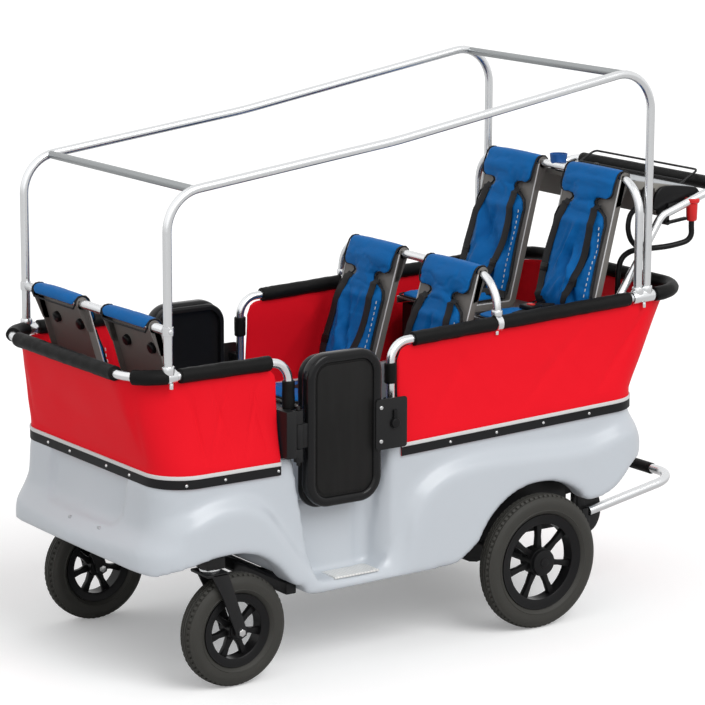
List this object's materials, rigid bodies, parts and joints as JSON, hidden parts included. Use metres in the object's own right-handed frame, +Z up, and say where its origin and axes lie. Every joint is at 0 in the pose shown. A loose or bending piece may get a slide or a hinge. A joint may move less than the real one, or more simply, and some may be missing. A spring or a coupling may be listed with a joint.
{
  "type": "electric kids wagon",
  "caption": "Electric push wagon for small children: moulded tub on pneumatic wheels, fabric sides, hinged side doors, harness seats, tubular canopy frame and a push handle at the rear.",
  "frame": {"origin": "on the floor, at the middle of the bounding box", "axes": "+X towards the push handle at the rear, -Y the vehicle's left side, +Z up"},
  "size_m": [1.8602, 0.8086, 1.4293],
  "materials": {
    "moulding": "semi-gloss light blue-grey moulded plastic",
    "aluminium": "satin drawn tube",
    "steel": "dull dark grey",
    "black_metal": "black powder coat",
    "black_plastic": "satin black",
    "foam": "closed-cell foam with a fine grain",
    "vinyl": "coated red cloth",
    "shell": "brown-grey sheet",
    "cloth": "blue woven cloth with black binding",
    "tray": "light grey with black ends",
    "tyre": "grooved rubber"
  },
  "bodies": {
    "wagon": {"moulded_body": "moulding", "chassis_frame": "black_metal", "drive_unit": "black_metal", "seat_box": "black_plastic", "tread_plate_left": "aluminium", "tread_plate_right": "aluminium", "front_rail": "aluminium", "rear_rail": "aluminium", "front_pad": "foam", "front_side_pad_left": "foam", "front_side_pad_right": "foam", "rear_side_pad_left": "foam", "rear_side_pad_right": "foam", "rear_end_pad": "foam", "front_panel": "vinyl", "rear_panel": "vinyl", "canopy_hoop_left": "aluminium", "canopy_hoop_right": "aluminium", "canopy_crossbar_front": "steel", "canopy_crossbar_rear": "steel", "front_clamp_left": "aluminium", "front_clamp_right": "aluminium", "rear_clamp_left": "aluminium", "rear_clamp_right": "aluminium", "front_seat_bar": "aluminium", "middle_seat_hoop": "aluminium", "rear_seat_hoop": "aluminium", "front_seat_shell_left": "shell", "front_seat_shell_right": "shell", "middle_seat_shell_left": "shell", "middle_seat_shell_right": "shell", "rear_seat_shell_left": "shell", "rear_seat_shell_right": "shell", "front_cushion_left": "cloth", "front_cushion_right": "cloth", "middle_cushion_left": "cloth", "middle_cushion_right": "cloth", "rear_cushion_left": "cloth", "rear_cushion_right": "cloth", "console": "tray", "handle_frame": "aluminium", "handle_grip": "foam", "control_cable": "black_plastic", "rear_bumper": "aluminium"},
    "caster_left": {"caster_fork_left": "black_metal"},
    "caster_right": {"caster_fork_right": "black_metal"},
    "front_wheel_left": {"front_rim_left": "black_plastic", "front_tyre_left": "tyre"},
    "front_wheel_right": {"front_rim_right": "black_plastic", "front_tyre_right": "tyre"},
    "rear_wheel_left": {"rear_rim_left": "black_plastic", "rear_tyre_left": "tyre"},
    "rear_wheel_right": {"rear_rim_right": "black_plastic", "rear_tyre_right": "tyre"},
    "door_body_left": {"door_left": "black_plastic"},
    "door_body_right": {"door_right": "black_plastic"},
    "latch_left": {"door_latch_left": "black_plastic"},
    "latch_right": {"door_latch_right": "black_plastic"},
    "brake": {"brake_lever": "black_plastic"}
  },
  "joints": [
    {"name": "caster_left_swivel", "type": "hinge", "parent": "wagon", "child": "caster_left", "pos_m": [-0.7125, -0.337, 0.3], "axis": [0, 0, 1], "continuous": true},
    {"name": "caster_right_swivel", "type": "hinge", "parent": "wagon", "child": "caster_right", "pos_m": [-0.7125, 0.337, 0.3], "axis": [0, 0, 1], "continuous": true},
    {"name": "front_wheel_left_roll", "type": "hinge", "parent": "caster_left", "child": "front_wheel_left", "pos_m": [-0.6485, -0.337, 0.142], "axis": [0, 1, 0], "continuous": true},
    {"name": "front_wheel_right_roll", "type": "hinge", "parent": "caster_right", "child": "front_wheel_right", "pos_m": [-0.6485, 0.337, 0.142], "axis": [0, 1, 0], "continuous": true},
    {"name": "rear_wheel_left_roll", "type": "hinge", "parent": "wagon", "child": "rear_wheel_left", "pos_m": [0.2625, -0.374, 0.178], "axis": [0, 1, 0], "continuous": true},
    {"name": "rear_wheel_right_roll", "type": "hinge", "parent": "wagon", "child": "rear_wheel_right", "pos_m": [0.2625, 0.374, 0.178], "axis": [0, 1, 0], "continuous": true},
    {"name": "door_left_hinge", "type": "hinge", "parent": "wagon", "child": "door_body_left", "pos_m": [-0.4825, -0.376, 0.61], "axis": [0, 0, -1], "range_deg": [0, 100]},
    {"name": "door_right_hinge", "type": "hinge", "parent": "wagon", "child": "door_body_right", "pos_m": [-0.4825, 0.376, 0.61], "axis": [0, 0, 1], "range_deg": [0, 100]},
    {"name": "latch_left_turn", "type": "hinge", "parent": "door_body_left", "child": "latch_left", "pos_m": [-0.2095, -0.397, 0.611], "axis": [0, 1, 0], "range_deg": [0, 90]},
    {"name": "latch_right_turn", "type": "hinge", "parent": "door_body_right", "child": "latch_right", "pos_m": [-0.2095, 0.397, 0.611], "axis": [0, 1, 0], "range_deg": [0, 90]},
    {"name": "brake_lever_squeeze", "type": "hinge", "parent": "wagon", "child": "brake", "pos_m": [0.7245, -0.31, 1.0151], "axis": [0, -1, 0], "range_deg": [0, 10], "stiffness_Nm_per_rad": 0.5, "springref_deg": -5.73}
  ]
}
